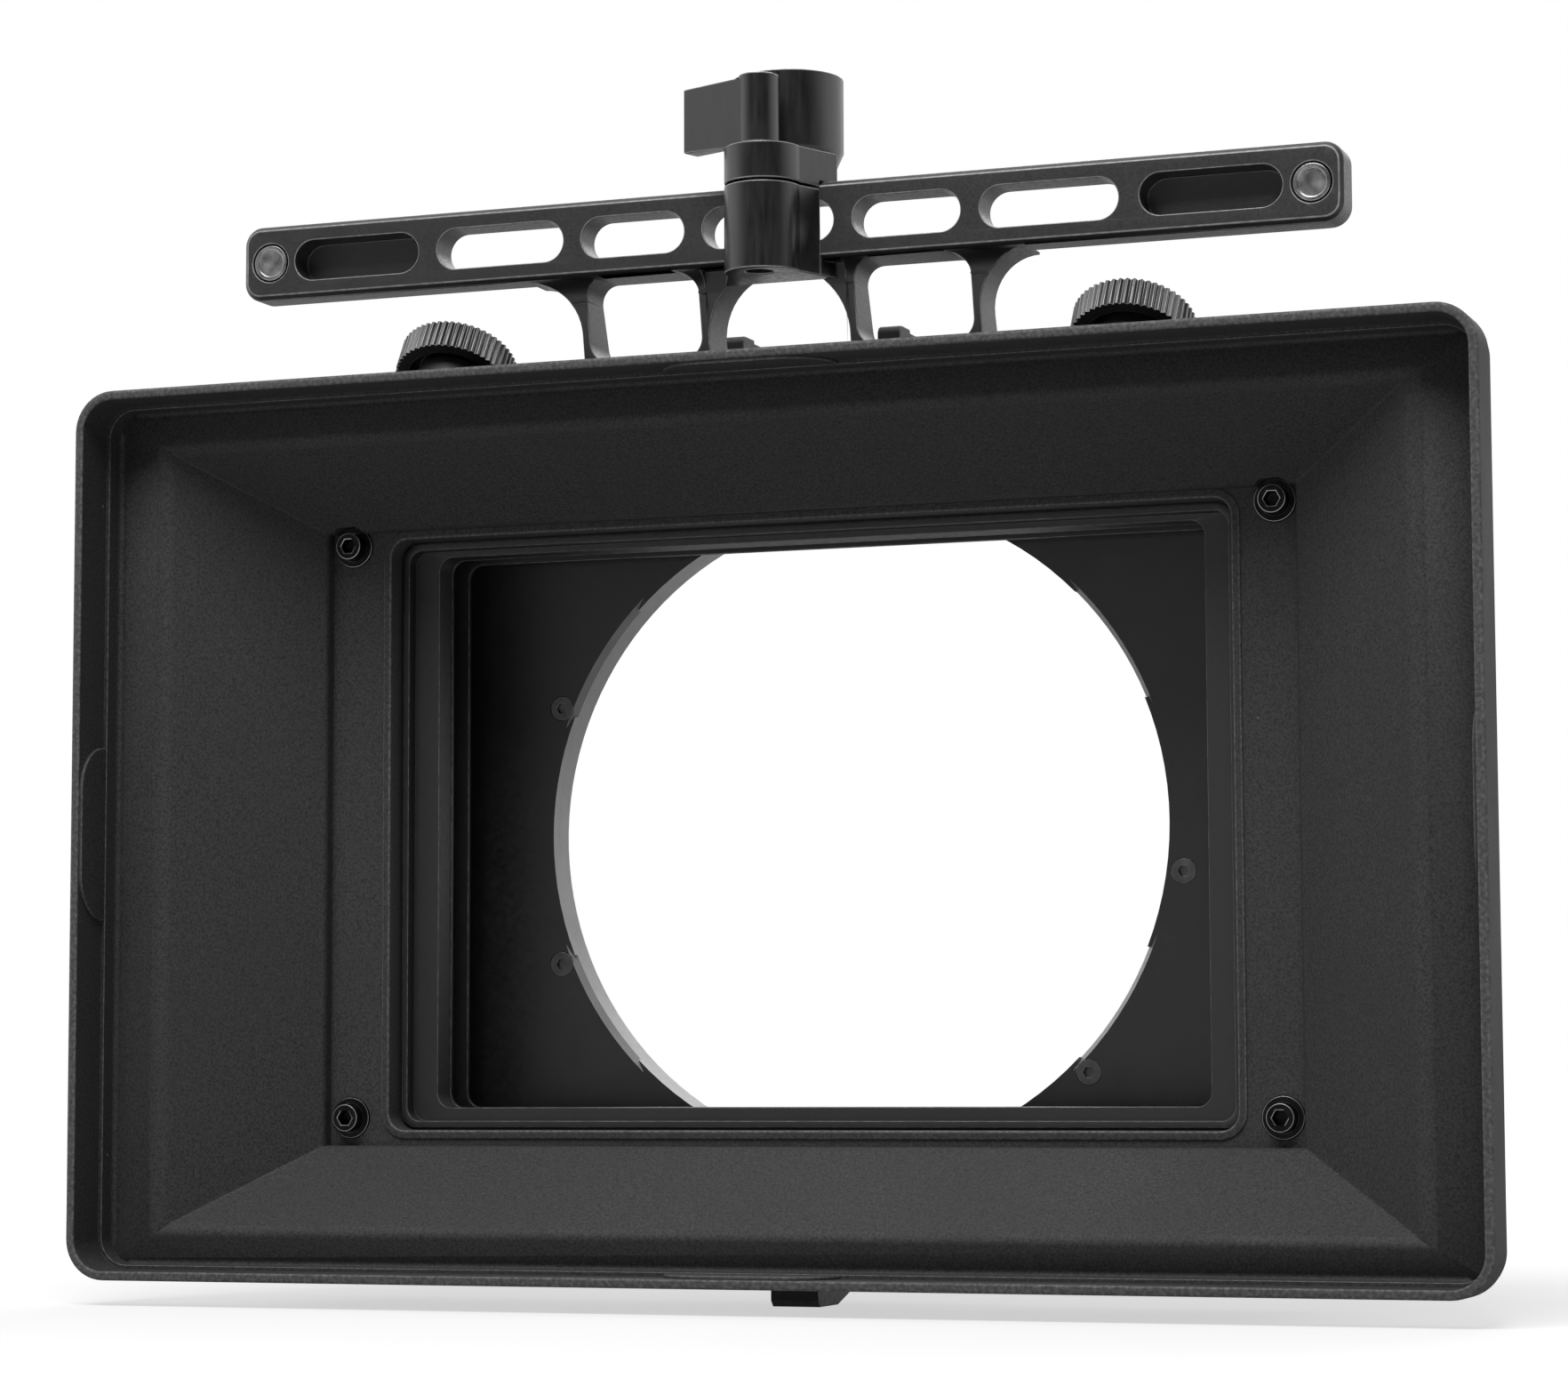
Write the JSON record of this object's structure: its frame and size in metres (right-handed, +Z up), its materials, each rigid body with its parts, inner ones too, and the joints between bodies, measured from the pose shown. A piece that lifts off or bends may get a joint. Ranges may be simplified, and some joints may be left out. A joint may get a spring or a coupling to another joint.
{
  "type": "matte box",
  "caption": "Matte box with a rectangular sunshade hood, a filter stage with lift-out trays, a split lens clamp behind and a slotted bar with a lever clamp on top.",
  "frame": {"origin": "on the lens axis, at the rear end of the lens clamp's straight bore", "axes": "+Z up, +Y back along the lens axis towards the camera, +X to the right as seen from in front of the hood; the hood looks along -Y"},
  "size_m": [0.2446, 0.0719, 0.2067],
  "materials": {
    "hood_black": "matt black moulded plastic with a fine grain, worn pale along its edges",
    "screw_black": "black oxide steel",
    "frame_black": "matt black anodised aluminium",
    "tray_black": "matt black anodised aluminium",
    "spring_steel": "bright spring steel",
    "screw_steel": "plain steel",
    "anodised_black": "satin black anodised aluminium",
    "knurled_black": "satin black anodised aluminium, knurled",
    "cap_silver": "turned bright aluminium"
  },
  "bodies": {
    "stage": {"front_frame": "frame_black", "sunshade_hood": "hood_black", "hood_screws": "screw_black", "hood_collars": "screw_black", "rail_left": "frame_black", "rail_right": "frame_black", "bottom_rail": "frame_black", "tray_plungers": "spring_steel", "back_plate": "frame_black", "stage_bolts": "screw_steel", "clamp_ring": "anodised_black", "ring_screws": "screw_steel", "bar_bracket": "anodised_black", "bracket_screws": "screw_steel", "end_caps": "cap_silver", "jaw_body": "anodised_black", "flag_post_left": "anodised_black", "flag_post_right": "anodised_black", "support_foot": "frame_black", "foot_screws": "screw_steel"},
    "front_tray": {"tray_front": "tray_black", "pull_front": "frame_black", "filter_clip_front": "spring_steel"},
    "rear_tray": {"tray_rear": "tray_black", "pull_rear": "frame_black", "filter_clip_rear": "spring_steel"},
    "clamp_jaw": {"jaw_top": "anodised_black"},
    "lever": {"clamp_lever": "anodised_black", "jaw_screw": "screw_steel"},
    "ring_knob": {"clamp_knob": "knurled_black", "clamp_screw": "screw_steel"},
    "left_washer": {"flag_washer_left": "screw_steel"},
    "left_wheel": {"thumb_wheel_left": "knurled_black"},
    "right_washer": {"flag_washer_right": "screw_steel"},
    "right_wheel": {"thumb_wheel_right": "knurled_black"}
  },
  "joints": [
    {"name": "front_tray_lift", "type": "slide", "parent": "stage", "child": "front_tray", "axis": [0, 0, 1], "range_m": [0, 0.11]},
    {"name": "rear_tray_lift", "type": "slide", "parent": "stage", "child": "rear_tray", "axis": [0, 0, 1], "range_m": [0, 0.11]},
    {"name": "jaw_lift", "type": "slide", "parent": "stage", "child": "clamp_jaw", "axis": [0, 0, 1], "range_m": [0, 0.000233]},
    {"name": "lever_turn", "type": "hinge", "parent": "clamp_jaw", "child": "lever", "pos_m": [0.001, -0.0554, 0.112], "axis": [0, 0, 1], "range_deg": [0, 105]},
    {"name": "ring_knob_turn", "type": "hinge", "parent": "stage", "child": "ring_knob", "pos_m": [0.0915, -0.00115, 0.0675], "axis": [1, 0, 0], "continuous": true},
    {"name": "left_wheel_travel", "type": "slide", "parent": "stage", "child": "left_washer", "axis": [0, 0.5299, 0.848], "range_m": [-0.0012, 0.0004]},
    {"name": "left_wheel_turn", "type": "hinge", "parent": "left_washer", "child": "left_wheel", "pos_m": [-0.061, -0.04181, 0.077], "axis": [0, 0.5299, 0.848], "range_deg": [-540, 180]},
    {"name": "right_wheel_travel", "type": "slide", "parent": "stage", "child": "right_washer", "axis": [0, 0.5299, 0.848], "range_m": [0, 0.0016]},
    {"name": "right_wheel_turn", "type": "hinge", "parent": "right_washer", "child": "right_wheel", "pos_m": [0.061, -0.0425, 0.0759], "axis": [0, 0.5299, 0.848], "range_deg": [0, 720]}
  ],
  "couplings": [
    {"joint": "lever_turn", "follows": "jaw_lift", "rad_per_m": 7854},
    {"joint": "left_wheel_turn", "follows": "left_wheel_travel", "rad_per_m": 7854},
    {"joint": "right_wheel_turn", "follows": "right_wheel_travel", "rad_per_m": 7854}
  ]
}
